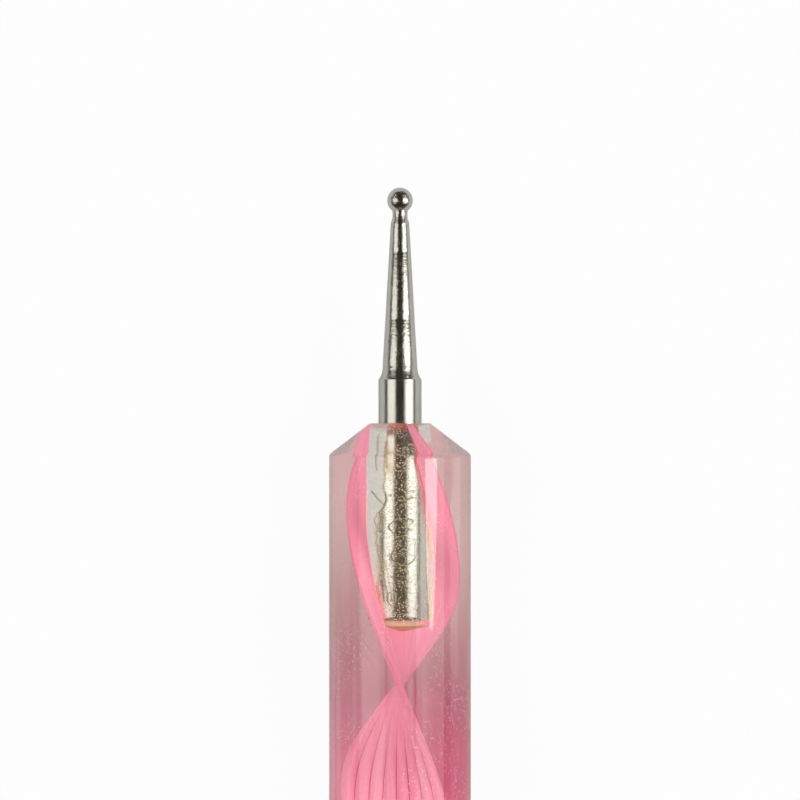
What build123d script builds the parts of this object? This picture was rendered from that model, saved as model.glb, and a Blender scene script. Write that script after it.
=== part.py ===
from build123d import *
import math
import os

os.makedirs("parts", exist_ok=True)

# Round clear handle, lying along Y with the middle of its axis at the origin
handle_length = 100.0
handle_diameter = 8.0
end_cone_length = 1.76
cone_edge_radius = 0.35

# Flat ring left round each bore mouth at the ends of the handle
end_land_width = 0.425

# Steel shank that both tips share, glued into the handle
shank_diameter = 2.44
shank_exposed = 2.494
shank_embedded = 11.05
shank_inner_edge = 0.2
shoulder_step = 0.14
shoulder_length = 0.197
flare_step = 0.0925
flare_length = 0.395

# Amber adhesive round the shank, past its inner end and up to the bore mouth
adhesive_gap = 0.055
adhesive_end_gap = 0.3
adhesive_recess = 0.1
bore_point_length = 0.35

# Ribbed pink ribbon inside the handle, one unbroken left-hand twist
ribbon_pitch = 32.8
ribbon_width = 4.3
ribbon_offset = 0.12
edge_rib_count = 2
edge_rib_width = 0.54
middle_rib_flank = 0.13
rib_thickness = 0.3
web_thickness = 0.16
ribbon_upright_depth = 14.7

# Fine tip at the front, +Y
front_taper_length = 8.164
front_taper_end_diameter = 1.054
front_nose_length = 0.28
front_neck_diameter = 0.89
front_waist_diameter = 0.85
front_neck_length = 0.47
front_ball_diameter = 1.45

# Broad tip at the rear, -Y
rear_taper_length = 7.06
rear_taper_end_diameter = 1.7
rear_nose_length = 0.28
rear_neck_diameter = 1.45
rear_waist_diameter = 1.4
rear_neck_length = 0.6
rear_ball_diameter = 2.5

# How far a cutting shape and the ribbon's twist run past the handle's end faces
overrun = 1.0

handle_radius = handle_diameter / 2
half_length = handle_length / 2
shank_radius = shank_diameter / 2
bore_radius = shank_radius + adhesive_gap
bore_depth = shank_embedded + adhesive_end_gap
end_face_radius = bore_radius + end_land_width


def turn_tip(
    toward: int,
    taper_length: float,
    taper_end_diameter: float,
    nose_length: float,
    neck_diameter: float,
    waist_diameter: float,
    neck_length: float,
    ball_diameter: float,
) -> Part:
    """Turn one steel tip about Y, with its ball toward +Y (1) or -Y (-1)."""
    shoulder_radius = shank_radius - shoulder_step
    taper_radius = shoulder_radius - flare_step
    taper_end_radius = taper_end_diameter / 2
    neck_radius = neck_diameter / 2
    ball_radius = ball_diameter / 2

    inner_end = half_length - shank_embedded
    shoulder = half_length + shank_exposed
    flare = shoulder + shoulder_length
    taper = flare + flare_length
    nose = taper + taper_length
    neck = nose + nose_length
    neck_end = neck + neck_length
    ball_centre = neck_end + math.sqrt(ball_radius**2 - neck_radius**2)
    hollow_share = 0.3

    with BuildPart() as tip:
        with BuildSketch(Plane.XY):
            with BuildLine():
                Polyline(
                    (0, toward * inner_end),
                    (shank_radius - shank_inner_edge, toward * inner_end),
                    (shank_radius, toward * (inner_end + shank_inner_edge)),
                    (shank_radius, toward * shoulder),
                    (shoulder_radius, toward * flare),
                )
                ThreePointArc(
                    (shoulder_radius, toward * flare),
                    (taper_radius + hollow_share * flare_step, toward * (flare + taper) / 2),
                    (taper_radius, toward * taper),
                )
                Line((taper_radius, toward * taper), (taper_end_radius, toward * nose))
                Spline(
                    (taper_end_radius, toward * nose),
                    (neck_radius, toward * neck),
                    tangents=(
                        (taper_end_radius - taper_radius, toward * taper_length),
                        (neck_radius - taper_end_radius, toward * nose_length),
                    ),
                )
                ThreePointArc(
                    (neck_radius, toward * neck),
                    (waist_diameter / 2, toward * (neck + neck_end) / 2),
                    (neck_radius, toward * neck_end),
                )
                ThreePointArc(
                    (neck_radius, toward * neck_end),
                    (ball_radius, toward * ball_centre),
                    (0, toward * (ball_centre + ball_radius)),
                )
                Line((0, toward * (ball_centre + ball_radius)), (0, toward * inner_end))
            make_face()
        revolve(axis=Axis.Y)
    return tip.part


def drill_shape(toward: int, mouth: float) -> Part:
    """One bore as a solid: its pointed bottom inside the handle, its flat top at mouth."""
    with BuildPart() as bore:
        with BuildSketch(Plane.XY):
            with BuildLine():
                Polyline(
                    (0, toward * (half_length - bore_depth - bore_point_length)),
                    (bore_radius, toward * (half_length - bore_depth)),
                    (bore_radius, toward * mouth),
                    (0, toward * mouth),
                    close=True,
                )
            make_face()
        revolve(axis=Axis.Y)
    return bore.part


def rib_line(side: int) -> list[tuple[float, float]]:
    """Points across one face of the ribbon: narrow ribs at both edges, a broad one between."""
    web = side * web_thickness / 2
    crest = side * rib_thickness / 2
    middle_width = ribbon_width - 2 * edge_rib_count * edge_rib_width
    place = -ribbon_width / 2 - ribbon_offset
    points = [(place, web)]
    for edge in range(2):
        for rib in range(edge_rib_count):
            points.append((place + edge_rib_width / 2, crest))
            points.append((place + edge_rib_width, web))
            place += edge_rib_width
        if edge == 0:
            points.append((place + middle_rib_flank, crest))
            points.append((place + middle_width - middle_rib_flank, crest))
            points.append((place + middle_width, web))
            place += middle_width
    return points


def twist_half(toward: int) -> Part:
    """Half of the ribbon, swept from past one end face (1 front, -1 rear) to the middle."""
    start = toward * (half_length + overrun)
    reach = half_length + overrun
    upright_place = half_length - ribbon_upright_depth
    start_turn = math.radians(360 * (upright_place - start) / ribbon_pitch)
    start_plane = Plane(
        origin=(0, start, 0),
        x_dir=(math.sin(start_turn), 0, math.cos(start_turn)),
        z_dir=(0, -toward, 0),
    )
    with BuildPart() as half:
        with BuildLine() as spine:
            Line((0, start, 0), (0, 0, 0))
        with BuildLine() as twist_guide:
            Helix(
                pitch=ribbon_pitch,
                height=reach,
                radius=ribbon_width,
                center=(0, start, 0),
                direction=(0, -toward, 0),
                lefthand=True,
            )
        with BuildSketch(start_plane) as ribbon_section:
            with BuildLine():
                upper = Polyline(*rib_line(1))
                lower = Polyline(*rib_line(-1))
                Line(upper @ 0, lower @ 0)
                Line(upper @ 1, lower @ 1)
            make_face()
        sweep(ribbon_section.sketch, path=spine.wire(), binormal=twist_guide.wire())
    return half.part


front_tip_shape = turn_tip(
    1,
    front_taper_length,
    front_taper_end_diameter,
    front_nose_length,
    front_neck_diameter,
    front_waist_diameter,
    front_neck_length,
    front_ball_diameter,
)
rear_tip_shape = turn_tip(
    -1,
    rear_taper_length,
    rear_taper_end_diameter,
    rear_nose_length,
    rear_neck_diameter,
    rear_waist_diameter,
    rear_neck_length,
    rear_ball_diameter,
)
front_drill = drill_shape(1, half_length + overrun)
rear_drill = drill_shape(-1, half_length + overrun)

# Plain turned outer form of the handle: a barrel with a short cone at each end
with BuildPart() as handle_form:
    with BuildSketch(Plane.XY) as half_outline:
        with BuildLine():
            Polyline(
                (0, -half_length),
                (end_face_radius, -half_length),
                (handle_radius, end_cone_length - half_length),
                (handle_radius, half_length - end_cone_length),
                (end_face_radius, half_length),
                (0, half_length),
                close=True,
            )
        make_face()
        fillet(half_outline.vertices().group_by(Axis.X)[-1], radius=cone_edge_radius)
    revolve(axis=Axis.Y)

# One unbroken ribbon: its two halves meet in the middle and its ends follow the cones
with BuildPart() as ribbon_form:
    add(twist_half(1))
    add(twist_half(-1))
    add(handle_form.part, mode=Mode.INTERSECT)

with BuildPart() as twisted_ribbon:
    add(ribbon_form.part)
    add(front_drill, mode=Mode.SUBTRACT)
    add(rear_drill, mode=Mode.SUBTRACT)

with BuildPart() as clear_handle:
    add(handle_form.part)
    add(ribbon_form.part, mode=Mode.SUBTRACT)
    add(front_drill, mode=Mode.SUBTRACT)
    add(rear_drill, mode=Mode.SUBTRACT)

with BuildPart() as front_adhesive:
    add(drill_shape(1, half_length - adhesive_recess))
    add(front_tip_shape, mode=Mode.SUBTRACT)

with BuildPart() as rear_adhesive:
    add(drill_shape(-1, half_length - adhesive_recess))
    add(rear_tip_shape, mode=Mode.SUBTRACT)

with BuildPart() as front_tip:
    add(front_tip_shape)

with BuildPart() as rear_tip:
    add(rear_tip_shape)

clear_handle.part.label = "clear_handle"
export_step(clear_handle.part, "parts/clear_handle.step")

twisted_ribbon.part.label = "twisted_ribbon"
export_step(twisted_ribbon.part, "parts/twisted_ribbon.step")

front_tip.part.label = "front_tip"
export_step(front_tip.part, "parts/front_tip.step")

rear_tip.part.label = "rear_tip"
export_step(rear_tip.part, "parts/rear_tip.step")

front_adhesive.part.label = "front_adhesive"
export_step(front_adhesive.part, "parts/front_adhesive.step")

rear_adhesive.part.label = "rear_adhesive"
export_step(rear_adhesive.part, "parts/rear_adhesive.step")
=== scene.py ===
"""Looks of a double-ended embossing stylus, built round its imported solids.

The stylus lies along Y on a pale floor, its fine ball toward +Y and the camera above it. Lengths
are in metres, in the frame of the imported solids, whose origin is the middle of the axis. Only
what a finish calls a fade, and the table of glue bubbles, are in millimetres.
"""

import logging
import random
from dataclasses import dataclass
from enum import Enum
from math import asin, atan2, copysign, cos, hypot, pi, radians, sin, sqrt, tan, tau
from typing import Any

import bmesh
import bpy
from bmesh.types import BMEdge, BMesh, BMVert
from bpy.types import Material, Node, NodeSocket, NodeTree, Object
from mathutils import Matrix, Vector


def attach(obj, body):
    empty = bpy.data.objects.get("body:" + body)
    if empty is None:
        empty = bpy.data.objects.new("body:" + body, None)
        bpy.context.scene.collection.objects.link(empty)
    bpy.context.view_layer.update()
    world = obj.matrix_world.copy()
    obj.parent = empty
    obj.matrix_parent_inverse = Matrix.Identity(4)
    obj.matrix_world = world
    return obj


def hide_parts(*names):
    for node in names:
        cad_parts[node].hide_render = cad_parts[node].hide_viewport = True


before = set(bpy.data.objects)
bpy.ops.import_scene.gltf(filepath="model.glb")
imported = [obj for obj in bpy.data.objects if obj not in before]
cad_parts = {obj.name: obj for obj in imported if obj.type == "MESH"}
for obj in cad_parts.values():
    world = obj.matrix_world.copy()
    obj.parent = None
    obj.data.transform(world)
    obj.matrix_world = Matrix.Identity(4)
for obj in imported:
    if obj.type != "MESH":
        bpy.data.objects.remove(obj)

LOG = logging.getLogger("stylus")
MM = 0.001
Colour = tuple[float, float, float]
Axes = tuple[float, float, float]
Point = tuple[float, float]
# The value at which a mask is 0, and the one at which it is 1
Fade = tuple[float, float]

WHITE = (1.0, 1.0, 1.0)
BLACK = (0.0, 0.0, 0.0)
ORIGIN = (0.0, 0.0, 0.0)
Y_AXIS = (0.0, 1.0, 0.0)
Z_AXIS = (0.0, 0.0, 1.0)
EVEN = (1.0, 1.0, 1.0)
# How far the middle of a quarter arc stands in from its corner, as a share of its radius
CORNER_SHARE = 0.2929
# Vertices nearer than the first are one, and edges shorter than the second are none
MERGE_DISTANCE, SLIVER_LENGTH = 1e-7, 1e-8
# How far off the outer edge of an end face its vertices may be
RIM_TOLERANCE = 1e-6


class End(Enum):
    """An end of the handle, with its sense along Y."""

    FRONT = 1
    REAR = -1


# ---------------------------------------------------------------- shader building


@dataclass(frozen=True)
class Grain:
    """Smooth noise: lumps to a metre, finer layers, their strength and a factor for each axis."""

    scale: float
    detail: float = 2.0
    roughness: float = 0.5
    stretch: Axes = EVEN


@dataclass(frozen=True)
class Specks:
    """Round specks: cells to a metre, a speck's radius in cells, and its core in radii."""

    scale: float
    size: float
    core: float = 0.4


class Signal:
    """What one output of a shader node gives, with operators that add Math nodes."""

    def __init__(self, tree: "ShaderTree", socket: NodeSocket) -> None:
        """Wrap an output socket of a shader tree."""
        self.tree = tree
        self.socket = socket

    def output(self, name: str) -> "Signal":
        """Give another output of the same node."""
        return Signal(self.tree, self.socket.node.outputs[name])

    def maths(self, operation: str, *values: Any) -> "Signal":
        """Add one Math node, with this signal usually among its values."""
        return self.tree.add("Math", dict(enumerate(values)), {"operation": operation})

    def __add__(self, other: Any) -> "Signal":
        """Add a value."""
        return self.maths("ADD", self, other)

    __radd__ = __add__

    def __sub__(self, other: Any) -> "Signal":
        """Take a value away."""
        return self.maths("SUBTRACT", self, other)

    def __rsub__(self, other: Any) -> "Signal":
        """Take this signal away from a value."""
        return self.maths("SUBTRACT", other, self)

    def __mul__(self, other: Any) -> "Signal":
        """Multiply by a value."""
        return self.maths("MULTIPLY", self, other)

    __rmul__ = __mul__

    def __gt__(self, other: Any) -> "Signal":
        """Give 1 where this is larger than a value."""
        return self.maths("GREATER_THAN", self, other)

    def __abs__(self) -> "Signal":
        """Drop the sign."""
        return self.maths("ABSOLUTE", self)

    def at_least(self, other: Any) -> "Signal":
        """Return the larger of this and a value."""
        return self.maths("MAXIMUM", self, other)

    def sine(self) -> "Signal":
        """Return the sine."""
        return self.maths("SINE", self)

    def step(self, low: float, high: float) -> "Signal":
        """Rise smoothly from 0 at low to 1 at high, or fall where low is the larger.

        Args:
            low: The value that gives 0.
            high: The value that gives 1.

        Returns:
            The eased share between the two.
        """
        rising = low < high
        return self.tree.add(
            "MapRange",
            {
                "Value": self,
                "From Min": low if rising else high,
                "From Max": high if rising else low,
                "To Min": 0.0 if rising else 1.0,
                "To Max": 1.0 if rising else 0.0,
            },
            {"interpolation_type": "SMOOTHSTEP"},
        )

    def fade(self, low: float, high: float) -> "Signal":
        """Do as step does, between two lengths in millimetres."""
        return self.step(low * MM, high * MM)


class ShaderTree:
    """The node tree of one material, or of the world."""

    def __init__(self, tree: NodeTree) -> None:
        """Empty a node tree and start again from it."""
        self.tree = tree
        tree.nodes.clear()

    def node(
        self,
        kind: str,
        inputs: dict[str | int, Any] | None = None,
        settings: dict[str, Any] | None = None,
    ) -> Node:
        """Add a shader node, set it and fill its sockets.

        Args:
            kind: The node's type, without its ShaderNode prefix.
            inputs: Values or signals, by the name or number of the node's sockets.
            settings: Its settings by name; stops gives a ramp's places and colours.

        Returns:
            The node.
        """
        node = self.tree.nodes.new("ShaderNode" + kind)
        for name, value in (settings or {}).items():
            if name == "stops":
                elements = node.color_ramp.elements
                while len(elements) < len(value):
                    elements.new(1.0)
                for element, (place, colour) in zip(elements, value):
                    element.position = place
                    element.color = (*colour, 1.0)
            else:
                setattr(node, name, value)
        for name, value in (inputs or {}).items():
            socket = node.inputs[name]
            if isinstance(value, Signal):
                self.tree.links.new(value.socket, socket)
            else:
                socket.default_value = (*value, 1.0) if socket.type == "RGBA" else value
        return node

    def add(
        self,
        kind: str,
        inputs: dict[str | int, Any] | None = None,
        settings: dict[str, Any] | None = None,
        output: str | int = 0,
    ) -> Signal:
        """Add a shader node as node() does, and give one of its outputs."""
        return Signal(self, self.node(kind, inputs, settings).outputs[output])

    def place(self) -> Signal:
        """Give the Object coordinates."""
        return self.add("TexCoord", output="Object")

    def parts(self, vector: Signal) -> tuple[Signal, Signal, Signal]:
        """Split a vector into its three numbers."""
        first = self.add("SeparateXYZ", {0: vector})
        return first, first.output("Y"), first.output("Z")

    def stretched(self, vector: Signal, factors: Axes) -> Signal:
        """Multiply a vector by a factor for each axis."""
        return self.add("VectorMath", {0: vector, 1: factors}, {"operation": "MULTIPLY"})

    def reach(self, vector: Signal) -> Signal:
        """Measure how far a place is from the Y axis."""
        flat = self.stretched(vector, (1.0, 0.0, 1.0))
        return self.add("VectorMath", {0: flat}, {"operation": "LENGTH"}, "Value")

    def noise(self, vector: Signal, grain: Grain) -> Signal:
        """Add smooth noise.

        Args:
            vector: Where the noise is read.
            grain: The kind of noise.

        Returns:
            The noise, round a half.
        """
        if grain.stretch != EVEN:
            vector = self.stretched(vector, grain.stretch)
        sizes = {"Scale": grain.scale, "Detail": grain.detail, "Roughness": grain.roughness}
        return self.add("TexNoise", {"Vector": vector, **sizes})

    def specks(self, vector: Signal, kind: Specks) -> Signal:
        """Give 1 in round specks, one at most in each cell, and 0 between them."""
        cells = self.add("TexVoronoi", {"Vector": vector, "Scale": kind.scale}, None, "Distance")
        return cells.step(kind.size, kind.size * kind.core)

    def mixed(self, first: Any, second: Any, factor: Any) -> Signal:
        """Mix two colours, up to the second alone at a factor of 1."""
        return self.add("Mix", {0: factor, 6: first, 7: second}, {"data_type": "RGBA"}, 2)

    def blended(self, first: Signal, second: Signal, factor: Any) -> Signal:
        """Mix two shaders, up to the second alone at a factor of 1."""
        return self.add("MixShader", {0: factor, 1: first, 2: second})

    def bumped(self, height: Signal, distance: float, normal: Signal | None = None) -> Signal:
        """Turn a height into a bent normal.

        Args:
            height: The height, from 0 to 1.
            distance: What a height of 1 is worth.
            normal: A normal that is bent already.

        Returns:
            The normal.
        """
        inputs = {"Height": height, "Distance": distance}
        if normal:
            inputs["Normal"] = normal
        return self.add("Bump", inputs)


def new_material(name: str) -> tuple[Material, ShaderTree]:
    """Make an empty material.

    Args:
        name: The finish's name.

    Returns:
        The material and its shader tree.
    """
    material = bpy.data.materials.new(name)
    material.use_nodes = True
    return material, ShaderTree(material.node_tree)


# ---------------------------------------------------------------- finishes


@dataclass(frozen=True)
class ClearPlastic:
    """Clear cast plastic, faintly tinted, with painted pink bounce light and painted shadow
    streaks drawn along it.
    """

    index: float = 1.49
    clear: Colour = (0.98, 0.945, 0.95)
    # The next four are painted light on the faces that rays leave by: painted shade and painted
    # pink bounce light, each with a darker painted shadow streak.
    painted_shade: Colour = (0.66, 0.32, 0.48)
    painted_shadow_streak: Colour = (0.42, 0.09, 0.175)
    painted_pink_bounce: Colour = (0.98, 0.38, 0.66)
    pink_bounce_shadow_streak: Colour = (0.98, 0.075, 0.27)
    shade: Colour = (0.95, 0.575, 0.53)
    # The next colour is a painted glow, given to rays that have bounced off the glass more than
    # bounces times.
    glow: Colour = (0.46, 0.32, 0.32)
    dust: Colour = (0.98, 0.90, 0.90)
    thread: Colour = (0.40, 0.36, 0.20)
    # The next colour is painted shade on the thread's sides, where it turns away from the view.
    thread_side_shade: Colour = (0.07, 0.045, 0.02)
    roughness: float = 0.012
    thread_roughness: float = 0.25
    ripple: float = 0.004 * MM
    ripples: Grain = Grain(900.0, stretch=(1.0, 0.15, 1.0))
    # The streaks are painted coloured shadow, drawn along the handle.
    streaks: Grain = Grain(5200.0, 1.0, stretch=(1.0, 0.006, 1.0))
    streaked: Fade = (0.40, 0.58)
    drift: Grain = Grain(110.0)
    inner_fade: Fade = (45.5, 34.0)
    pink_bounce_fade: Fade = (36.0, 29.0)
    # A band right of the axis that carries the painted shadow streaks in full.
    right_fade: Fade = (0.30, 0.68)
    right_share: float = 0.95
    scuffs: Specks = Specks(6200.0, 0.27)
    scuffing: Grain = Grain(420.0)
    scuffed: Fade = (0.34, 0.58)
    top_fade: Fade = (0.0, 0.5)
    scuff_share: float = 0.48
    bore_fade: Fade = (1.36, 1.35)
    mouth_fade: Fade = (49.9, 49.89)
    bottom_fade: Fade = (39.2, 39.21)
    breaks: Grain = Grain(1250.0)
    unbroken: Fade = (0.25, 0.40)
    thread_shade_fade: Fade = (0.30, 0.55)
    bounces: float = 2.5

    def material(self) -> Material:
        """Make the plastic.

        Returns:
            Glass for sight with painted light, which lets the lamps' light straight through to
            what is inside.
        """
        material, tree = new_material("clear_plastic")
        place = tree.place()
        across, along, up = tree.parts(place)
        depth = abs(along)
        leaving = tree.add("NewGeometry", output="Backfacing")
        # Painted light on the exit faces: painted shadow streaks over painted shade, which turns
        # to painted pink bounce light towards the middle.
        painted_streak_share = tree.noise(place, self.streaks).step(*self.streaked)
        painted_streak_share = painted_streak_share * (0.5 + tree.noise(place, self.drift))
        painted_streak_share = painted_streak_share.at_least(across.fade(*self.right_fade) * self.right_share)
        past = depth.fade(*self.pink_bounce_fade)
        body = tree.mixed(
            tree.mixed(self.painted_shade, self.painted_pink_bounce, past),
            tree.mixed(self.painted_shadow_streak, self.pink_bounce_shadow_streak, past),
            painted_streak_share,
        )
        glass = tree.add(
            "BsdfPrincipled",
            {
                "Base Color": tree.mixed(self.clear, body, leaving * depth.fade(*self.inner_fade)),
                "Roughness": self.roughness,
                "IOR": self.index,
                "Transmission Weight": 1.0,
                "Normal": tree.bumped(tree.noise(place, self.ripples), self.ripple),
            },
        )
        scuffs = tree.specks(place, self.scuffs) * up.fade(*self.top_fade)
        scuffs = scuffs * tree.noise(place, self.scuffing).step(*self.scuffed) * self.scuff_share
        dusty = tree.blended(glass, tree.add("BsdfDiffuse", {"Color": self.dust}), scuffs)
        in_bore = tree.reach(place).fade(*self.bore_fade)
        in_bore = in_bore * depth.fade(*self.mouth_fade) * depth.fade(*self.bottom_fade)
        # Painted shade: the thread darkens towards its sides, by how far it turns from the view.
        side = tree.add("LayerWeight", {"Blend": 0.5}, output="Facing")
        tint = tree.mixed(self.thread, self.thread_side_shade, side.step(*self.thread_shade_fade))
        inputs = {"Base Color": tint, "Roughness": self.thread_roughness}
        drawn = tree.add("BsdfPrincipled", inputs)
        whole = tree.noise(place, self.breaks).step(*self.unbroken)
        solid = tree.blended(dusty, drawn, in_bore * whole)
        rays = tree.add("LightPath")
        # A painted glow in place of the light on rays that have bounced off the glass too often.
        painted_haze = tree.add("Emission", {"Color": self.glow, "Strength": 1.0})
        seen = tree.blended(solid, painted_haze, rays.output("Glossy Depth") > self.bounces)
        tinted = tree.add("BsdfTransparent", {"Color": self.shade})
        untinted = tree.add("BsdfTransparent", {"Color": WHITE})
        passed = tree.blended(tinted, untinted, leaving)
        unseen = rays.output("Is Shadow Ray").at_least(rays.output("Is Diffuse Ray"))
        tree.node("OutputMaterial", {"Surface": tree.blended(seen, passed, unseen)})
        return material


@dataclass(frozen=True)
class PinkPlastic:
    """Drawn pink plastic of the ribbon: smooth ribs with a satin gleam, painted highlight lines
    and painted shade in the folds.
    """

    crest: Colour = (0.99, 0.305, 0.435)
    # The next colour is a painted highlight, for pale lines along the crests.
    painted_line_highlight: Colour = (0.99, 0.46, 0.58)
    edge: Colour = (0.86, 0.24, 0.35)
    flank: Colour = (0.99, 0.31, 0.44)
    # The next colour is painted shade, laid in the folds between the ribs.
    fold: Colour = (0.76, 0.085, 0.16)
    # The next colour is a painted glow for the faces cut by the bore, where little light reaches.
    painted_cut_glow: Colour = (0.75, 0.17, 0.20)
    lit_through: float = 0.05
    flank_at: float = 0.14
    crest_at: float = 0.70
    index: float = 1.5
    gloss: float = 0.15
    roughness: float = 0.28
    roughening: float = 0.16
    draw_lines: float = 0.006 * MM
    lines_along: float = 1.5
    drawing: Grain = Grain(30.0, 3.0, 0.6)
    unevenness: float = 0.5
    line_highlight_fade: Fade = (0.52, 0.64)
    line_highlight_share: float = 0.5
    clouds: Grain = Grain(240.0)
    clouded: Fade = (0.45, 0.75)
    cloud_share: float = 0.5
    smooth_side: Fade = (0.45, 0.60)
    flat_margin: Fade = (0.468, 0.49)
    edge_margin: Fade = (0.484, 0.496)
    cut_fade: Fade = (1.291, 1.283)
    cut_bottom_fade: Fade = (38.66, 38.67)

    def material(self, ribs: int) -> Material:
        """Make the plastic.

        Args:
            ribs: How many ribs lie across the ribbon's UV map.

        Returns:
            The material, with its folds along the UV map's first direction.
        """
        material, tree = new_material("pink_plastic")
        across, side, _ = tree.parts(tree.add("UVMap", None, {"uv_map": "section"}))
        place = tree.place()
        _, along, _ = tree.parts(place)
        margin = abs(across - 0.5)
        wave = abs((across * (pi * ribs)).sine()).at_least(side.step(*self.smooth_side))
        wave = wave.at_least(margin.step(*self.flat_margin))
        lines = tree.add("CombineXYZ", {0: across, 1: along * self.lines_along})
        drawn = tree.noise(lines, self.drawing)
        # The ramp paints shade into the folds, rising to the plain pink of the crests.
        stops = ((0.0, self.fold), (self.flank_at, self.flank), (self.crest_at, self.crest))
        fold_shading = wave + (drawn - 0.5) * self.unevenness
        colour = tree.add("ValToRGB", {0: fold_shading}, {"stops": stops})
        cloudy = tree.noise(place, self.clouds).step(*self.clouded)
        tinted = tree.mixed(colour, self.flank, cloudy * self.cloud_share)
        # Painted highlight: paler lines along the crests of the ribs.
        line_highlight = drawn.step(*self.line_highlight_fade) * wave * self.line_highlight_share
        tinted = tree.mixed(tinted, self.painted_line_highlight, line_highlight)
        tinted = tree.mixed(tinted, self.edge, margin.step(*self.edge_margin))
        # A painted glow on the faces cut by the bore, standing in for light that hardly reaches
        # them.
        near_cut = tree.reach(place).fade(*self.cut_fade) * abs(along).fade(*self.cut_bottom_fade)
        shader = tree.add(
            "BsdfPrincipled",
            {
                "Base Color": tinted,
                "Roughness": drawn * self.roughening + self.roughness,
                "IOR": self.index,
                "Specular IOR Level": self.gloss,
                "Normal": tree.bumped(drawn, self.draw_lines),
                "Emission Color": tree.mixed(BLACK, self.painted_cut_glow, near_cut),
                "Emission Strength": 1.0,
            },
        )
        through = tree.add("BsdfTranslucent", {"Color": self.crest})
        tree.node("OutputMaterial", {"Surface": tree.blended(shader, through, self.lit_through)})
        return material


@dataclass(frozen=True)
class PolishedSteel:
    """Turned and plated steel: bright, slightly yellow, with fine rings left by the tool; painted
    light brightens it inside the handle.
    """

    bright: Colour = (0.60, 0.59, 0.525)
    # The next two colours are painted light: brighter, greener steel inside the handle, brighter
    # still on its left side.
    sunk_painted_light: Colour = (0.80, 0.90, 0.80)
    sunk_left_painted_highlight: Colour = (0.97, 0.99, 0.90)
    stained: Colour = (0.42, 0.39, 0.31)
    sunk_fade: Fade = (49.95, 39.0)
    held_fade: Fade = (49.95, 49.55)
    left_fade: Fade = (-0.10, -0.22)
    left_share: float = 0.9
    worn_fade: Fade = (1.15, 1.10)
    unworn_share: float = 0.16
    roughness: float = 0.09
    ring_depth: float = 0.0045 * MM
    held_smoothing: float = 0.65
    dimple_depth: float = 0.024 * MM
    rings: Grain = Grain(16000.0, 3.0, 0.7, (0.03, 1.0, 0.03))
    bands: Grain = Grain(1500.0, stretch=(0.08, 1.0, 0.08))
    band_dullness: float = 0.12
    dimples: Grain = Grain(7500.0, 2.0, 0.55, (0.55, 1.0, 0.55))
    stains: Grain = Grain(900.0, 4.0, 0.65)
    stain_dullness: float = 0.08
    staining: Fade = (0.56, 0.78)
    stain_share: float = 0.6
    held_cleanness: float = 0.5
    pits: Specks = Specks(7000.0, 0.2)
    pitted: Fade = (0.45, 0.60)
    pit_share: float = 0.4
    pit_depth: float = 0.6

    def material(self) -> Material:
        """Make the steel.

        Returns:
            The material, with its rings round Y.
        """
        material, tree = new_material("polished_steel")
        place = tree.place()
        across, along, _ = tree.parts(place)
        depth = abs(along)
        stains = tree.noise(place, self.stains)
        pits = tree.specks(place, self.pits) * stains.step(*self.pitted)
        worn = tree.reach(place).fade(*self.worn_fade)
        held = depth.fade(*self.held_fade)
        # Painted light: the steel inside the handle is brighter, and brighter still on its left
        # side.
        base = tree.mixed(self.bright, self.sunk_painted_light, depth.fade(*self.sunk_fade))
        left = across.fade(*self.left_fade) * held * self.left_share
        base = tree.mixed(base, self.sunk_left_painted_highlight, left)
        marks = stains.step(*self.staining) * self.stain_share + pits * self.pit_share
        marks = marks * (1.0 - held * self.held_cleanness)
        rings = tree.noise(place, self.rings) * (1.0 - held * self.held_smoothing)
        dimples = tree.noise(place, self.dimples) - pits * self.pit_depth
        hammered = dimples * (worn * (1.0 - self.unworn_share) + self.unworn_share)
        ringed = tree.bumped(rings, self.ring_depth)
        dullness = tree.noise(place, self.bands) * self.band_dullness
        dullness = dullness + stains * self.stain_dullness
        shader = tree.add(
            "BsdfPrincipled",
            {
                "Base Color": tree.mixed(base, self.stained, marks),
                "Metallic": 1.0,
                "Roughness": dullness + self.roughness,
                "Normal": tree.bumped(hammered, self.dimple_depth, ringed),
            },
        )
        tree.node("OutputMaterial", {"Surface": shader})
        return material


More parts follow.
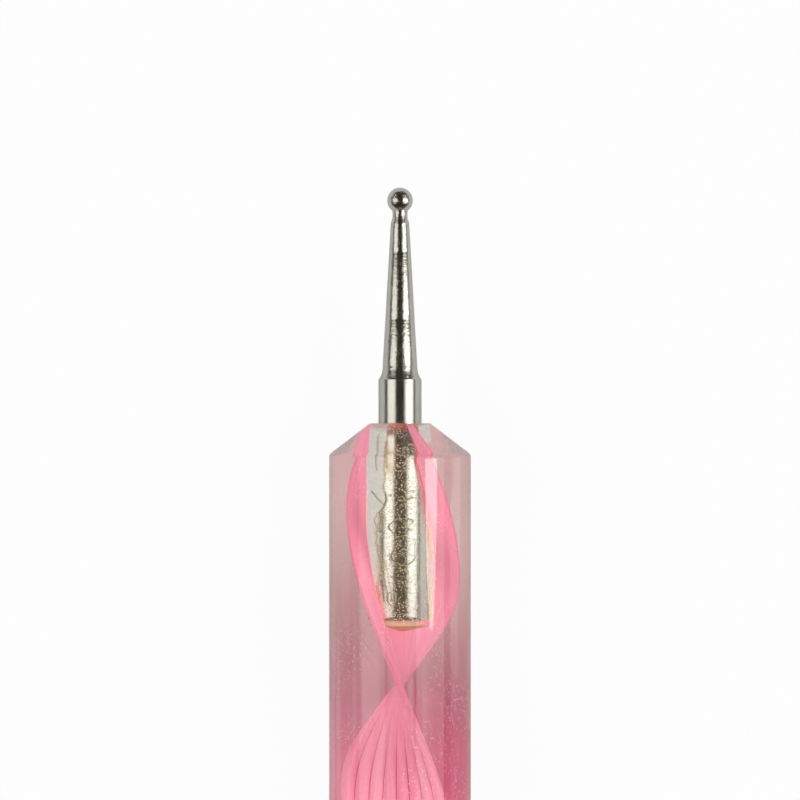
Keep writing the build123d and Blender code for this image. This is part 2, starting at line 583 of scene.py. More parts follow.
@dataclass(frozen=True)
class AmberAdhesive:
    """Thin yellowed glue between steel and plastic, clear but for its thicker places, with painted
    light: a silvery reflection and a highlight band.

    A density of two numbers has the least, and what the grain or the patches add to it.
    """

    thin: Colour = (0.93, 0.56, 0.18)
    thick: Colour = (0.68, 0.27, 0.20)
    # The next colour is partly clouded glue and partly a painted highlight, standing in for the
    # steel's bright band near the mouth.
    cloud_and_highlight: Colour = (0.95, 0.93, 0.84)
    wet: Colour = (0.99, 0.60, 0.34)
    froth: Colour = (0.93, 0.89, 0.77)
    # The next colour is a painted reflection: the silvery sheen of an air film in the glue.
    painted_silver_reflection: Colour = (0.76, 0.74, 0.69)
    contour: Colour = (0.10, 0.07, 0.035)
    index: float = 1.5
    roughness: float = 0.25
    roughening: float = 0.2
    patches: Grain = Grain(780.0, 3.0, 0.6, (1.0, 0.5, 1.0))
    grain: Grain = Grain(4200.0)
    wander: Grain = Grain(850.0, stretch=(0.4, 1.0, 1.0))
    clusters: Grain = Grain(1500.0)
    clustered: Fade = (0.34, 0.52)
    fine_froth: Specks = Specks(8600.0, 0.33)
    coarse_froth: Specks = Specks(5200.0, 0.19)
    mouth_fade: Fade = (48.9, 49.8)
    thick_fade: Fade = (47.6, 49.0)
    end_fade: Fade = (38.95, 38.80)
    pool_fade: Fade = (1.20, 0.85)
    smear_fade: Fade = (1.15, 0.85)
    film_edge: float = -0.96 * MM
    film_wander: float = 0.55 * MM
    film_shift: float = 0.28 * MM
    shift_fade: Fade = (44.9, 45.7)
    film_fade: Fade = (0.12, -0.06)
    film_top_fade: Fade = (-0.5, -0.1)
    film_end_fade: Fade = (39.1, 40.1)
    rim_fade: Fade = (0.030, 0.012)
    rim_patches: Fade = (0.53, 0.60)
    rim_end_fade: Fade = (46.3, 45.9)
    beside_fade: Fade = (1.14, 1.25)
    beside_patches: Fade = (0.44, 0.60)
    cloud_and_highlight_middle: float = -0.43 * MM
    cloud_and_highlight_fades: tuple[Fade, ...] = ((0.25, 0.08), (0.0, 0.3), (46.9, 47.9), (49.15, 48.5))
    right_reflection_fades: tuple[Fade, ...] = ((0.78, 0.98), (-0.6, -0.2), (47.2, 48.2), (49.75, 49.45))
    film_density: Point = (0.60, 0.30)
    right_reflection_density: Point = (0.45, 0.40)
    cloud_and_highlight_density: Point = (0.45, 0.45)
    froth_density: float = 0.72
    rim_density: float = 0.4
    mouth_density: float = 0.55
    smear_density: float = 0.34
    pool_density: float = 0.8
    beside_density: float = 0.4
    clear_density: float = 0.02
    mouth_thinning: float = 0.6

    def material(self) -> Material:
        """Make the glue.

        Returns:
            The material, denser at the bore's mouth and bottom and in patches.
        """
        material, tree = new_material("amber_adhesive")
        place = tree.place()
        across, along, up = tree.parts(place)
        depth = abs(along)
        patches = tree.noise(place, self.patches)
        grain = tree.noise(place, self.grain)
        froth = tree.specks(place, self.fine_froth).at_least(tree.specks(place, self.coarse_froth))
        froth = froth * tree.noise(place, self.clusters).step(*self.clustered)
        near_mouth = depth.fade(*self.mouth_fade)
        near_end = depth.fade(*self.end_fade)
        clear_of_end = 1.0 - near_end
        pool = near_end * tree.reach(place).fade(*self.pool_fade)
        limit = depth.fade(*self.shift_fade) * self.film_shift
        limit = limit + (tree.noise(place, self.wander) - 0.5) * self.film_wander
        inward = across - limit - self.film_edge
        film = inward.fade(*self.film_fade) * up.fade(*self.film_top_fade) * clear_of_end
        film = film * depth.fade(*self.film_end_fade) * (1.0 - near_mouth * self.mouth_thinning)
        rim = abs(inward).fade(*self.rim_fade) * patches.step(*self.rim_patches)
        rim = rim * depth.fade(*self.rim_end_fade)
        beside = across.fade(*self.beside_fade) * patches.step(*self.beside_patches) * clear_of_end
        cloud_and_highlight = self.patch(abs(across - self.cloud_and_highlight_middle), up, depth, self.cloud_and_highlight_fades)
        right_reflection_patch = self.patch(across, up, depth, self.right_reflection_fades)
        colour = tree.mixed(self.thin, self.thick, depth.fade(*self.thick_fade))
        for tint, share in (
            (self.wet, near_end),
            # Painted reflection: the silvery sheen of the air film, and of a patch on the right.
            (self.painted_silver_reflection, film.at_least(right_reflection_patch)),
            # Partly clouded glue, partly a painted highlight of the steel's band.
            (self.cloud_and_highlight, cloud_and_highlight),
            (self.froth, froth),
            (self.contour, rim),
        ):
            colour = tree.mixed(colour, tint, share)
        smear = near_end * abs(across).fade(*self.smear_fade)
        alpha = froth * clear_of_end * self.froth_density
        for share, density in (
            (rim, self.rim_density),
            (near_mouth, self.mouth_density),
            (smear, self.smear_density),
            (pool, self.pool_density),
            (beside, self.beside_density),
        ):
            alpha = alpha.at_least(share * density)
        for share, (least, more), pattern in (
            (film, self.film_density, grain),
            (right_reflection_patch, self.right_reflection_density, grain),
            (cloud_and_highlight, self.cloud_and_highlight_density, patches),
        ):
            alpha = alpha.at_least(share * (least + pattern * more))
        shader = tree.add(
            "BsdfPrincipled",
            {
                "Base Color": colour,
                "Roughness": grain * self.roughening + self.roughness,
                "IOR": self.index,
                "Specular IOR Level": 0.0,
                "Alpha": alpha + self.clear_density,
            },
        )
        tree.node("OutputMaterial", {"Surface": shader})
        return material

    def patch(self, across: Signal, up: Signal, depth: Signal, fades: tuple[Fade, ...]) -> Signal:
        """Bound a patch of the glue.

        Args:
            across: The place across the bore.
            up: The height over the axis.
            depth: The place along the handle, from its middle.
            fades: The fades of across, of up, and of depth at the patch's inner and outer end.

        Returns:
            1 in the patch and 0 round it.
        """
        inner, outer = depth.fade(*fades[2]), depth.fade(*fades[3])
        return across.fade(*fades[0]) * up.fade(*fades[1]) * inner * outer


@dataclass(frozen=True)
class PaleFloor:
    """Smooth pale board under and behind the stylus, seen white."""

    board: Colour = (0.60, 0.61, 0.635)
    fibre: Colour = (0.565, 0.575, 0.60)
    fibres: Grain = Grain(900.0, 3.0)
    roughness: float = 0.9
    seen_share: float = 0.96
    mirrored_share: float = 0.10

    def material(self) -> Material:
        """Make the board.

        Returns:
            The material: mostly plain white to the camera, and the lit board to the rest.
        """
        material, tree = new_material("pale_floor")
        flecked = tree.mixed(self.board, self.fibre, tree.noise(tree.place(), self.fibres))
        lit = tree.add(
            "BsdfPrincipled",
            {"Base Color": flecked, "Roughness": self.roughness, "Specular IOR Level": 0.0},
        )
        white = tree.add("Emission", {"Color": WHITE, "Strength": 1.0})
        rays = tree.add("LightPath")
        mirrored = rays.output("Is Glossy Ray").at_least(rays.output("Is Transmission Ray"))
        share = rays.output("Is Camera Ray") * self.seen_share
        share = share.at_least(mirrored * self.mirrored_share)
        tree.node("OutputMaterial", {"Surface": tree.blended(lit, white, share)})
        return material


# ---------------------------------------------------------------- mesh building


class Outline:
    """A line drawn from one vertex in the X-Y plane, point by point."""

    def __init__(self, x: float, y: float) -> None:
        """Start the line at a point."""
        self.mesh = bmesh.new()
        self.pen = self.mesh.verts.new((x, y, 0.0))

    def line(self, x: float, y: float) -> "Outline":
        """Draw a straight run to a point.

        Args:
            x: Where it ends along X.
            y: Where it ends along Y.

        Returns:
            The outline.
        """
        grown = bmesh.ops.extrude_vert_indiv(self.mesh, verts=[self.pen])
        self.pen = grown["verts"][0]
        self.pen.co = (x, y, 0.0)
        return self

    def arc(self, middle: Point, end: Point, steps: int) -> "Outline":
        """Draw an arc through a point to another.

        Args:
            middle: A point that the arc passes.
            end: Where it ends.
            steps: How many runs it is made of.

        Returns:
            The outline.
        """
        start = Vector(self.pen.co[:2])
        first, second = Vector(middle) - start, Vector(end) - start
        cross = 2.0 * (first.x * second.y - first.y * second.x)
        centre = start + Vector(
            (
                (second.y * first.length_squared - first.y * second.length_squared) / cross,
                (first.x * second.length_squared - second.x * first.length_squared) / cross,
            )
        )
        out, back = start - centre, Vector(end) - centre
        turn = atan2(out.x * back.y - out.y * back.x, out.dot(back))
        if turn * cross < 0.0:
            turn += copysign(tau, cross)
        grown = bmesh.ops.spin(
            self.mesh, geom=[self.pen], cent=(*centre, 0.0), axis=Z_AXIS, angle=turn, steps=steps
        )
        self.pen = next(v for v in grown["geom_last"] if isinstance(v, BMVert))
        self.pen.co = (*end, 0.0)
        return self

    def turned(self, segments: int) -> BMesh:
        """Spin the line once round Y.

        Args:
            segments: How many strips go round.

        Returns:
            The closed turned mesh, its faces outward.
        """
        mesh = self.mesh
        line = mesh.verts[:] + mesh.edges[:]
        bmesh.ops.spin(
            mesh, geom=line, cent=ORIGIN, axis=Y_AXIS, angle=tau, steps=segments, use_merge=True
        )
        bmesh.ops.remove_doubles(mesh, verts=mesh.verts[:], dist=MERGE_DISTANCE)
        bmesh.ops.dissolve_degenerate(mesh, edges=mesh.edges[:], dist=SLIVER_LENGTH)
        bmesh.ops.recalc_face_normals(mesh, faces=mesh.faces[:])
        return mesh


def piece_from(mesh: BMesh, name: str, material: Material, crease: float = 32.0) -> Object:
    """Make an object of a finished mesh.

    Args:
        mesh: The mesh, which is used up.
        name: The piece's name.
        material: Its finish.
        crease: The angle in degrees past which an edge stays sharp.

    Returns:
        The object, at the origin.
    """
    data = bpy.data.meshes.new(name)
    mesh.to_mesh(data)
    mesh.free()
    data.materials.append(material)
    data.shade_smooth()
    data.set_sharp_from_angle(angle=radians(crease))
    piece = bpy.data.objects.new(name, data)
    bpy.context.scene.collection.objects.link(piece)
    return piece


def place_piece(piece: Object, node: str) -> None:
    """Put a piece in the place of the solid that it stands for.

    Args:
        piece: The finished piece.
        node: The solid that it replaces.
    """
    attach(piece, "root")
    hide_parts(node)
    LOG.info("%s: %d faces, in place of %s", piece.name, len(piece.data.polygons), node)


def turn_to(mesh: BMesh, end: End) -> None:
    """Turn a mesh made for the front end round to the rear, if it belongs there.

    Args:
        mesh: The mesh.
        end: The end of the handle that it is for.
    """
    if end is End.REAR:
        half_turn = Matrix.Rotation(pi, 3, "Z")
        bmesh.ops.rotate(mesh, verts=mesh.verts[:], matrix=half_turn, cent=ORIGIN)


# ---------------------------------------------------------------- the stylus


@dataclass
class Bore:
    """The blind bore in each end of the handle, with the glued shank in it."""

    mouth: float = 50.0 * MM
    shank_end: float = 38.95 * MM
    bottom: float = 38.65 * MM
    point: float = 38.30 * MM
    radius: float = 1.275 * MM
    shank_radius: float = 1.22 * MM
    segments: int = 64

    def drill(self, end: End, grown: float, mouth: float) -> BMesh:
        """Make the bore as a solid, to cut with.

        Args:
            end: Which end of the handle it is in.
            grown: How much larger than the bore it is.
            mouth: Where it stops outside.

        Returns:
            The pointed cylinder.
        """
        way = end.value
        outline = Outline(0.0, way * (self.point - grown))
        outline.line(self.radius + grown, way * (self.bottom - grown))
        outline.line(self.radius + grown, way * mouth).line(0.0, way * mouth)
        return outline.turned(self.segments)


@dataclass(frozen=True)
class Bubble:
    """The glue drawn out round one flat bubble beside the shank, in millimetres.

    across is how far from the axis it lies in X, depth how far from the bore's mouth; width,
    height and lean are those of its outline laid flat, lean in radians. The thread is thicker
    on one side by thickening, and waves holds how often the outline swells and how strongly.
    """

    across: float
    depth: float
    width: float
    height: float
    lean: float = 0.0
    wave: float = 0.14
    thread: float = 0.025
    steps: int = 48
    sides: int = 10
    layer_gap: float = 0.012
    thickness: float = 0.68
    thickening: float = 0.32
    waves: tuple[tuple[int, float], ...] = ((2, 1.0), (3, 0.6), (5, 0.35))

    def blow(self, mesh: BMesh, bore: Bore, seed: int) -> None:
        """Add the bubble's rim to the handle's mesh, as a thin closed ring.

        Args:
            mesh: The handle's mesh.
            bore: The bore that the bubble lies in.
            seed: What its uneven outline is drawn from.
        """
        before = set(mesh.verts)
        upright = Matrix.Rotation(pi / 2.0, 4, "X")
        ring = bmesh.ops.create_circle(
            mesh,
            segments=self.sides,
            radius=self.thread * MM,
            matrix=Matrix.Translation((1.0, 0.0, 0.0)) @ upright,
        )["verts"]
        edges = list({edge for vert in ring for edge in vert.link_edges})
        bmesh.ops.spin(
            mesh,
            geom=ring + edges,
            cent=ORIGIN,
            axis=Z_AXIS,
            angle=tau,
            steps=self.steps,
            use_merge=True,
        )
        verts = [vert for vert in mesh.verts if vert not in before]
        chance = random.Random(seed)
        shifts = [chance.uniform(0.0, tau) for _ in self.waves]
        for vert in verts:
            x, y, z = vert.co
            way = atan2(y, x)
            uneven = 1.0 + self.wave * sum(
                height * sin(count * way + shift)
                for (count, height), shift in zip(self.waves, shifts)
            )
            thinned = self.thickness + self.thickening * sin(way + shifts[1])
            off = (hypot(x, y) - 1.0) * thinned
            u = cos(way) * (self.width * MM / 2.0 * uneven + off)
            v = sin(way) * (self.height * MM / 2.0 * uneven + off)
            vert.co = self.laid(u, v, z * thinned, bore)
        faces = list({face for vert in verts for face in vert.link_faces})
        bmesh.ops.recalc_face_normals(mesh, faces=faces)

    def laid(self, u: float, v: float, lift: float, bore: Bore) -> Vector:
        """Bend a point of the flat outline round the shank.

        Args:
            u: Its place across the outline.
            v: Its place along the outline.
            lift: Its height over the layer that the bubble lies in.
            bore: The bore that the bubble lies in.

        Returns:
            The point beside the shank.
        """
        layer = bore.radius + self.layer_gap * MM
        round_by = u * cos(self.lean) - v * sin(self.lean)
        along = u * sin(self.lean) + v * cos(self.lean)
        turn = asin(self.across * MM / layer) + round_by / layer
        reach = layer + lift
        place = bore.mouth - self.depth * MM + along
        return Vector((reach * sin(turn), place, reach * cos(turn)))


@dataclass
class Handle:
    """The clear handle: a round barrel with a short cone and a bore at each end."""

    half_length: float = 50.0 * MM
    radius: float = 4.0 * MM
    cone_length: float = 1.76 * MM
    cone_edge: float = 0.35 * MM
    cone_edge_steps: int = 8
    cone_edge_strip: float = 0.1 * MM
    face_radius: float = 1.70 * MM
    face_edge: float = 0.05 * MM
    face_edge_steps: int = 3
    wall_overlap: float = 0.015 * MM
    segments: int = 160
    crease: float = 40.0
    mote_seed: int = 11
    mote_count: int = 60
    mote_radius: float = 0.011 * MM
    mote_sizes: Point = (0.5, 1.25)
    mote_inner: float = 2.5 * MM
    mote_cover: float = 0.12 * MM
    mote_spread: float = 0.94
    bubbles: tuple[Bubble, ...] = (
        Bubble(0.02, 5.78, 1.06, 0.92, -0.3, 0.16, steps=72),
        Bubble(0.45, 5.66, 0.36, 0.66, 0.2, 0.10),
        Bubble(-0.86, 5.55, 0.55, 1.05, 0.3, 0.16, steps=64),
        Bubble(0.22, 7.20, 0.95, 1.75, -0.30, 0.13, steps=84),
        Bubble(-0.12, 7.66, 0.62, 0.88, 0.15, 0.13, steps=60),
        Bubble(-0.60, 8.85, 0.26, 1.90, 0.12, 0.18, steps=64),
        Bubble(-0.37, 9.80, 0.50, 0.72, 0.0, 0.10),
        Bubble(-0.29, 9.78, 0.22, 0.44, 0.0, 0.04),
        Bubble(0.57, 3.84, 0.14, 0.19, 0.0, 0.05, 0.018, 24),
        Bubble(-0.45, 4.03, 0.10, 0.12, 0.0, 0.05, 0.016, 20),
        Bubble(0.38, 4.22, 0.58, 0.07, 0.35, 0.08, 0.026, 32),
        Bubble(-0.94, 4.20, 1.10, 0.07, -0.80, 0.08, 0.026, 40),
        Bubble(-1.00, 1.90, 0.08, 1.50, 0.0, 0.14, 0.020, 48),
        Bubble(-0.58, 2.10, 0.08, 0.95, 0.1, 0.14, 0.018, 40),
        Bubble(0.10, 8.70, 0.90, 0.30, -0.3, 0.16, 0.016, 40),
    )

    def build(self, bore: Bore, finish: ClearPlastic) -> None:
        """Build and dress the handle.

        Args:
            bore: The bore in each end, whose walls are kept just inside the steel.
            finish: The clear plastic.
        """
        mesh = self.barrel(bore)
        for number, bubble in enumerate(self.bubbles):
            bubble.blow(mesh, bore, number)
        self.add_motes(mesh)
        piece = piece_from(mesh, "clear_barrel", finish.material(), self.crease)
        place_piece(piece, "clear_handle")

    def barrel(self, bore: Bore) -> BMesh:
        """Turn the handle's outside and its two bores in one piece.

        Args:
            bore: The bore in each end.

        Returns:
            The closed mesh.
        """
        inner_radius = bore.shank_radius - self.wall_overlap
        inner_end = bore.shank_end + self.wall_overlap
        half, face = self.half_length, self.face_radius
        slope = atan2(self.radius - face, self.cone_length)
        tangent = self.cone_edge * tan(slope / 2.0)
        shoulder = half - self.cone_length
        cone, barrel = shoulder + tangent * cos(slope), shoulder - tangent
        on_cone = self.radius - tangent * sin(slope)
        out = self.radius - self.cone_edge + self.cone_edge * cos(slope / 2.0)
        middle = barrel + self.cone_edge * sin(slope / 2.0)
        strip = barrel - self.cone_edge_strip
        outline = Outline(0.0, -inner_end).line(inner_radius, -inner_end)
        outline.line(inner_radius, -half).line(face, -half).line(on_cone, -cone)
        outline.arc((out, -middle), (self.radius, -barrel), self.cone_edge_steps)
        outline.line(self.radius, -strip).line(self.radius, strip).line(self.radius, barrel)
        outline.arc((out, middle), (on_cone, cone), self.cone_edge_steps)
        outline.line(face, half).line(inner_radius, half).line(inner_radius, inner_end)
        mesh = outline.line(0.0, inner_end).turned(self.segments)
        rims = [edge for edge in mesh.edges if all(self.on_rim(vert) for vert in edge.verts)]
        bmesh.ops.bevel(
            mesh,
            geom=rims,
            offset=self.face_edge,
            segments=self.face_edge_steps,
            profile=0.5,
            affect="EDGES",
            material=-1,
        )
        return mesh

    def on_rim(self, vert: BMVert) -> bool:
        """Tell whether a vertex is on the outer edge of an end face.

        Args:
            vert: A vertex of the barrel.

        Returns:
            True where it is.
        """
        outward = abs(hypot(vert.co.x, vert.co.z) - self.face_radius)
        endward = abs(abs(vert.co.y) - self.half_length)
        return outward < RIM_TOLERANCE and endward < RIM_TOLERANCE

    def add_motes(self, mesh: BMesh) -> None:
        """Scatter tiny air specks through the plastic, clear of the bores.

        Args:
            mesh: The handle's mesh.
        """
        chance = random.Random(self.mote_seed)
        for _ in range(self.mote_count):
            turn = chance.uniform(0.0, tau)
            reach = chance.uniform(self.mote_inner, self.radius - self.mote_cover)
            along = chance.uniform(-self.mote_spread, self.mote_spread) * self.half_length
            size = self.mote_radius * chance.uniform(*self.mote_sizes)
            spot = Vector((reach * sin(turn), along, reach * cos(turn)))
            made = bmesh.ops.create_icosphere(
                mesh, subdivisions=1, radius=size, matrix=Matrix.Translation(spot)
            )
            faces = list({face for vert in made["verts"] for face in vert.link_faces})
            bmesh.ops.reverse_faces(mesh, faces=faces)


@dataclass
class Ribbon:
    """The pleated pink ribbon, twisted to the left through the whole handle."""

    pitch: float = 32.8 * MM
    width: float = 4.3 * MM
    offset: float = 0.12 * MM
    thickness: float = 0.30 * MM
    fold_thickness: float = 0.09 * MM
    smooth_fold_thickness: float = 0.285 * MM
    ribs: int = 8
    rib_steps: int = 5
    upright_at: float = 35.30 * MM
    reach: float = 51.0 * MM
    step: float = 0.4 * MM
    cover: float = 0.03 * MM
    clearance: float = 0.004 * MM
    overrun: float = 1.0 * MM
    segments: int = 64
    crease: float = 50.0

    def build(self, bore: Bore, handle: Handle, finish: PinkPlastic) -> None:
        """Build and dress the ribbon.

        Args:
            bore: The bore in each end, which forks it.
            handle: The handle that it lies in.
            finish: The pink plastic.
        """
        pink = finish.material(self.ribs)
        twisted = piece_from(self.twist(), "ribbon_blank", pink)
        keep = piece_from(self.shell(handle), "ribbon_keep", pink)
        tools = [(keep, "INTERSECT")]
        for end in End:
            drill = bore.drill(end, self.clearance, self.reach + self.overrun)
            cutter = piece_from(drill, "ribbon_drill_" + end.name, pink)
            tools.append((cutter, "DIFFERENCE"))
        for tool, operation in tools:
            cut = twisted.modifiers.new(tool.name, "BOOLEAN")
            cut.operation = operation
            cut.solver = "EXACT"
            cut.object = tool
        whole = twisted.evaluated_get(bpy.context.evaluated_depsgraph_get())
        mesh = bmesh.new()
        mesh.from_mesh(bpy.data.meshes.new_from_object(whole))
        for gone in [twisted] + [tool for tool, _ in tools]:
            bpy.data.objects.remove(gone)
        self.lay_map(mesh)
        piece = piece_from(mesh, "pleated_ribbon", pink, self.crease)
        place_piece(piece, "twisted_ribbon")

    def twist(self) -> BMesh:
        """Draw the pleated section and carry it along Y while it turns.

        Returns:
            The closed twisted bar, past both ends of the handle.
        """
        rib = self.width / self.ribs
        low = -self.width / 2.0 - self.offset
        fold, crest = self.fold_thickness / 2.0, self.thickness / 2.0
        shallow = self.smooth_fold_thickness / 2.0
        outline = Outline(low, fold)
        first = outline.pen
        for number in range(self.ribs):
            place = low + number * rib
            rise = shallow if number < self.ribs - 1 else fold
            outline.arc((place + rib / 2.0, crest), (place + rib, rise), self.rib_steps)
        outline.line(low + self.width, -fold)
        for number in reversed(range(self.ribs)):
            place = low + number * rib
            outline.arc((place + rib / 2.0, -crest), (place, -fold), self.rib_steps)
        mesh = outline.mesh
        mesh.edges.new((outline.pen, first))
        turn = tau * (self.upright_at + self.reach) / self.pitch
        edge, axis = Vector((sin(turn), 0.0, cos(turn))), Vector(Y_AXIS)
        stand = Matrix((edge, axis.cross(edge), axis)).transposed().to_4x4()
        bmesh.ops.transform(
            mesh,
            matrix=Matrix.Translation((0.0, -self.reach, 0.0)) @ stand,
            verts=mesh.verts[:],
        )
        steps = round(2.0 * self.reach / self.step)
        section = mesh.edges[:]
        near = bmesh.ops.contextual_create(mesh, geom=section)["faces"]
        grown = bmesh.ops.spin(
            mesh,
            geom=section,
            cent=ORIGIN,
            axis=Y_AXIS,
            dvec=(0.0, 2.0 * self.reach / steps, 0.0),
            angle=-tau * 2.0 * self.reach / self.pitch,
            steps=steps,
        )
        last = [part for part in grown["geom_last"] if isinstance(part, BMEdge)]
        far = bmesh.ops.contextual_create(mesh, geom=last)["faces"]
        LOG.info("ribbon: %d steps, closed by %d faces", steps, len(near) + len(far))
        bmesh.ops.remove_doubles(mesh, verts=mesh.verts[:], dist=MERGE_DISTANCE)
        bmesh.ops.recalc_face_normals(mesh, faces=mesh.faces[:])
        return mesh

    def shell(self, handle: Handle) -> BMesh:
        """Turn the space that the ribbon may fill, just under the handle's skin.

        Args:
            handle: The handle.

        Returns:
            The closed turned mesh.
        """
        end = handle.half_length - self.cover
        shoulder = handle.half_length - handle.cone_length
        outline = Outline(0.0, -end)
        outline.line(handle.face_radius - self.cover, -end)
        outline.line(handle.radius - 2.0 * self.cover, -shoulder)
        outline.line(handle.radius - 2.0 * self.cover, shoulder)
        outline.line(handle.face_radius - self.cover, end).line(0.0, end)
        return outline.turned(self.segments)

    def lay_map(self, mesh: BMesh) -> None:
        """Lay a UV map, across the ribbon and from its pleated face to its smooth one.

        Args:
            mesh: The finished ribbon.
        """
        layer = mesh.loops.layers.uv.get("section") or mesh.loops.layers.uv.new("section")
        low = -self.width / 2.0 - self.offset
        for face in mesh.faces:
            for loop in face.loops:
                x, y, z = loop.vert.co
                turn = tau * (self.upright_at - y) / self.pitch
                across = x * sin(turn) + z * cos(turn)
                height = x * cos(turn) - z * sin(turn)
                loop[layer].uv = ((across - low) / self.width, height / self.thickness + 0.5)


@dataclass
class Tip:
    """A turned steel tip: shank, shoulder, taper, waisted neck and ball."""

    name: str
    node: str
    end: End
    taper_length: float
    taper_end: float
    neck: float
    waist: float
    neck_length: float
    ball: float
    ring_places: tuple[float, ...]
    shank: float = 1.22 * MM
    exposed: float = 2.494 * MM
    inner_edge: float = 0.2 * MM
    inner_edge_steps: int = 5
    shoulder_edge: Point = (0.03 * MM, 0.05 * MM)
    shoulder_edge_middle: Point = (0.008 * MM, 0.01 * MM)
    shoulder_edge_steps: int = 3
    shoulder_step: float = 0.14 * MM
    shoulder_length: float = 0.197 * MM
    flare_step: float = 0.0925 * MM
    flare_length: float = 0.395 * MM
    flare_hollow: float = 0.3
    nose_length: float = 0.28 * MM
    nose_bend: float = 0.55
    nose_bulge: Point = (0.01 * MM, 0.3)
    nose_hollow: Point = (0.008 * MM, 0.2)
    nose_steps: int = 4
    ring_depth: float = 0.010 * MM
    ring_width: float = 0.07 * MM
    curve_steps: int = 8
    ball_steps: int = 28
    segments: int = 128
    crease: float = 28.0

    def build(self, bore: Bore, finish: PolishedSteel) -> None:
        """Turn and dress the tip.

        Args:
            bore: The bore that holds its shank.
            finish: The steel.
        """
        shoulder = bore.mouth + self.exposed
        flare = shoulder + self.shoulder_length
        taper = flare + self.flare_length
        nose = taper + self.taper_length
        foot = self.shank - self.shoulder_step - self.flare_step
        outline = self.shank_outline(bore, shoulder)
        outline.line(self.shank - self.shoulder_step, flare)
        hollow = foot + self.flare_hollow * self.flare_step
        outline.arc((hollow, (flare + taper) / 2.0), (foot, taper), self.curve_steps)
        slope = (self.taper_end - foot) / self.taper_length
        for place in self.ring_places:
            for shift, depth in ((-0.5, 0.0), (0.0, 1.0), (0.5, 0.0)):
                along = place * self.taper_length + shift * self.ring_width
                outline.line(foot + slope * along - depth * self.ring_depth, taper + along)
        outline.line(self.taper_end, nose)
        self.draw_nose(outline, nose)
        mesh = outline.turned(self.segments)
        turn_to(mesh, self.end)
        piece = piece_from(mesh, self.name, finish.material(), self.crease)
        place_piece(piece, self.node)

    def shank_outline(self, bore: Bore, shoulder: float) -> Outline:
        """Draw the shank, from its inner end to its broken edge at the shoulder.

        Args:
            bore: The bore that holds it.
            shoulder: Where the shank stops outside.

        Returns:
            The outline so far.
        """
        edge, cut = self.inner_edge, self.inner_edge * CORNER_SHARE
        outline = Outline(0.0, bore.shank_end).line(self.shank - edge, bore.shank_end)
        outline.arc(
            (self.shank - cut, bore.shank_end + cut),
            (self.shank, bore.shank_end + edge),
            self.inner_edge_steps,
        )
        inward, back = self.shoulder_edge
        middle_inward, middle_back = self.shoulder_edge_middle
        outline.line(self.shank, shoulder - back)
        return outline.arc(
            (self.shank - middle_inward, shoulder - middle_back),
            (self.shank - inward, shoulder),
            self.shoulder_edge_steps,
        )

    def draw_nose(self, outline: Outline, nose: float) -> None:
        """Draw the rounding behind the neck, the waisted neck and the ball.

        Args:
            outline: The outline so far.
            nose: Where the taper ends.
        """
        neck = nose + self.nose_length
        neck_end = neck + self.neck_length
        half = (self.taper_end + self.neck) / 2.0
        bulge, bulge_at = self.nose_bulge
        hollow, hollow_at = self.nose_hollow
        outline.arc(
            ((self.taper_end + half) / 2.0 + bulge, nose + self.nose_length * bulge_at),
            (half, nose + self.nose_length * self.nose_bend),
            self.nose_steps,
        )
        outline.arc(
            ((half + self.neck) / 2.0 - hollow, neck - self.nose_length * hollow_at),
            (self.neck, neck),
            self.nose_steps,
        )
        outline.arc((self.waist, (neck + neck_end) / 2.0), (self.neck, neck_end), self.curve_steps)
        centre = neck_end + sqrt(self.ball**2 - self.neck**2)
        far = (pi + asin(self.neck / self.ball)) / 2.0
        outline.arc(
            (self.ball * sin(far), centre - self.ball * cos(far)),
            (0.0, centre + self.ball),
            self.ball_steps,
        )


@dataclass
class Glue:
    """The thin sleeve of glue round a shank, with the pool under its end."""

    name: str
    node: str
    end: End
    recess: float = 0.1 * MM
    lip: Point = (0.02 * MM, 0.03 * MM)
    gap: float = 0.012 * MM
    corner: float = 0.2 * MM
    corner_steps: int = 4
    segments: int = 72
    crease: float = 40.0

    def build(self, bore: Bore, finish: AmberAdhesive) -> None:
        """Build and dress the glue.

        Args:
            bore: The bore that it fills.
            finish: The glue's finish.
        """
        mouth = bore.mouth - self.recess
        inner = bore.shank_radius + self.gap
        under = bore.shank_end - self.gap
        inward, down = self.lip
        outline = Outline(0.0, bore.point)
        outline.line(bore.radius, bore.bottom).line(bore.radius, mouth)
        outline.arc((bore.radius - inward, mouth - down), (inner, mouth), self.corner_steps)
        outline.line(inner, bore.shank_end + self.corner / 2.0)
        outline.arc(
            (inner - self.corner / 4.0, bore.shank_end),
            (inner - self.corner, under),
            self.corner_steps,
        )
        mesh = outline.line(0.0, under).turned(self.segments)
        turn_to(mesh, self.end)
        piece = piece_from(mesh, self.name, finish.material(), self.crease)
        place_piece(piece, self.node)


# ---------------------------------------------------------------- the studio


@dataclass(frozen=True)
class Softbox:
    """An oval lamp, placed by its angles from straight above.

    Its angles and half-widths are in degrees.
    """

    name: str
    angle: float
    half_across: float
    half_along: float
    glow: float
    along: float = 0.0
    distance: float = 0.62
    mirrored: bool = True
    tint: Colour = (1.0, 1.0, 0.97)

    def hang(self, aim: Vector) -> None:
        """Hang the lamp.

        Args:
            aim: The point that it faces.
        """
        lamp = bpy.data.lights.new(self.name, "AREA")
        lamp.shape = "ELLIPSE"
        lamp.size = 2.0 * self.distance * tan(radians(self.half_across))
        lamp.size_y = 2.0 * self.distance * tan(radians(self.half_along))
        lamp.energy = self.glow * pi * lamp.size * lamp.size_y * pi / 4.0
        lamp.color = self.tint
        holder = bpy.data.objects.new(self.name, lamp)
        holder.visible_glossy = holder.visible_transmission = self.mirrored
        tilt = Matrix.Rotation(radians(self.along), 4, "X")
        turn = Matrix.Rotation(radians(self.angle), 4, "Y")
        away = Matrix.Translation((0.0, 0.0, self.distance))
        holder.matrix_world = Matrix.Translation(aim) @ tilt @ turn @ away
        bpy.context.scene.collection.objects.link(holder)


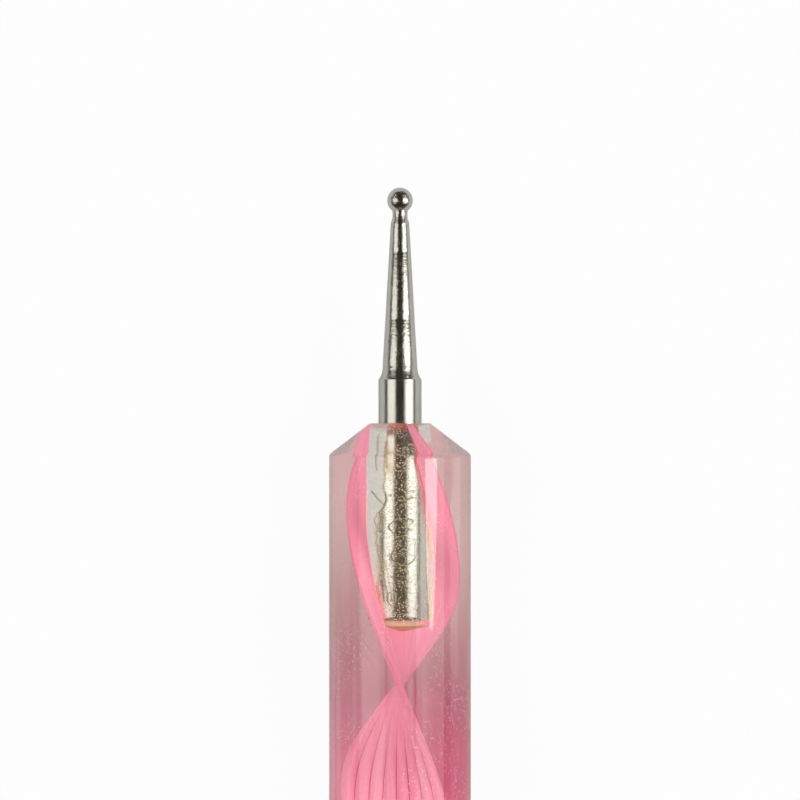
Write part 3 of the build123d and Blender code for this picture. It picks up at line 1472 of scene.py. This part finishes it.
@dataclass
class Studio:
    """Pale board, lamps at both sides and a camera straight above the fine tip."""

    floor_height: float = -4.0 * MM
    floor_radius: float = 2.2
    floor_bend: float = 0.15
    floor_bend_steps: int = 10
    floor_segments: int = 96
    wall_height: float = 0.5
    camera_height: float = 250.8 * MM
    camera_along: float = 51.31 * MM
    lens: float = 200.0
    sensor: float = 36.0
    nearest: float = 0.01
    dim: Colour = (0.043, 0.037, 0.028)
    softboxes: tuple[Softbox, ...] = (
        Softbox("right_softbox", 51.0, 25.5, 22.0, 1.6),
        Softbox("left_softbox", -47.0, 23.0, 21.0, 1.32, 2.0),
        Softbox("right_core", 52.0, 11.0, 3.8, 7.0, 0.6, 0.60),
        Softbox("upper_left_strip", -38.0, 14.0, 2.2, 3.0, -50.0),
        Softbox("upper_right_strip", 38.0, 14.0, 2.2, 3.0, -50.0),
        Softbox("left_fill", -48.0, 18.0, 20.0, 5.2, 0.0, 0.64, False),
        Softbox("right_fill", 46.0, 18.0, 20.0, 4.3, 0.0, 0.64, False),
    )

    def build(self, finish: PaleFloor) -> None:
        """Lay the floor, hang the lamps and place the camera.

        Args:
            finish: The board's finish.
        """
        self.lay_floor(finish)
        aim = Vector((0.0, self.camera_along, 0.0))
        for softbox in self.softboxes:
            softbox.hang(aim)
        self.light_room()
        self.place_camera()
        LOG.info("studio: floor, %d lamps and camera", len(self.softboxes))

    def lay_floor(self, finish: PaleFloor) -> None:
        """Turn the floor and the low wall that it sweeps up to.

        Args:
            finish: The board's finish.
        """
        bend = self.floor_bend
        edge = self.floor_radius + bend
        outline = Outline(0.0, 0.0).line(self.floor_radius, 0.0)
        outline.arc(
            (edge - bend * CORNER_SHARE, bend * CORNER_SHARE), (edge, bend), self.floor_bend_steps
        )
        mesh = outline.line(edge, self.wall_height).turned(self.floor_segments)
        upright = Matrix.Rotation(pi / 2.0, 3, "X")
        bmesh.ops.rotate(mesh, verts=mesh.verts[:], matrix=upright, cent=ORIGIN)
        bmesh.ops.translate(mesh, verts=mesh.verts[:], vec=(0.0, 0.0, self.floor_height))
        middle = min(mesh.faces, key=lambda face: face.calc_center_median().length)
        if middle.normal.z < 0.0:
            bmesh.ops.reverse_faces(mesh, faces=mesh.faces[:])
        piece_from(mesh, "pale_board", finish.material())

    def light_room(self) -> None:
        """Fill the room round the lamps with a dim grey."""
        world = bpy.data.worlds.new("room")
        world.use_nodes = True
        bpy.context.scene.world = world
        tree = ShaderTree(world.node_tree)
        back = tree.add("Background", {"Color": self.dim, "Strength": 1.0})
        tree.node("OutputWorld", {"Surface": back})

    def place_camera(self) -> None:
        """Place the camera straight above the fine tip, with +Y up in the picture."""
        camera = bpy.data.cameras.new("camera")
        camera.lens = self.lens
        camera.sensor_width = self.sensor
        camera.clip_start = self.nearest
        holder = bpy.data.objects.new("camera", camera)
        holder.location = (0.0, self.camera_along, self.camera_height)
        bpy.context.scene.collection.objects.link(holder)
        bpy.context.scene.camera = holder


def main() -> None:
    """Build the stylus piece by piece, and the studio round it."""
    logging.basicConfig(level=logging.INFO, format="%(name)s: %(message)s")
    scene = bpy.context.scene
    scene.view_settings.view_transform = "Standard"
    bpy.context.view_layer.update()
    bore = Bore()
    handle = Handle()
    handle.build(bore, ClearPlastic())
    Ribbon().build(bore, handle, PinkPlastic())
    steel = PolishedSteel()
    Tip(
        name="fine_tip",
        node="front_tip",
        end=End.FRONT,
        taper_length=8.164 * MM,
        taper_end=0.527 * MM,
        neck=0.445 * MM,
        waist=0.425 * MM,
        neck_length=0.47 * MM,
        ball=0.725 * MM,
        ring_places=(0.012, 0.335, 0.80),
    ).build(bore, steel)
    Tip(
        name="broad_tip",
        node="rear_tip",
        end=End.REAR,
        taper_length=7.06 * MM,
        taper_end=0.85 * MM,
        neck=0.725 * MM,
        waist=0.70 * MM,
        neck_length=0.60 * MM,
        ball=1.25 * MM,
        ring_places=(0.06, 0.2, 0.5, 0.82),
    ).build(bore, steel)
    glue = AmberAdhesive()
    Glue("fine_tip_glue", "front_adhesive", End.FRONT).build(bore, glue)
    Glue("broad_tip_glue", "rear_adhesive", End.REAR).build(bore, glue)
    Studio().build(PaleFloor())


if __name__ == "__main__":
    main()
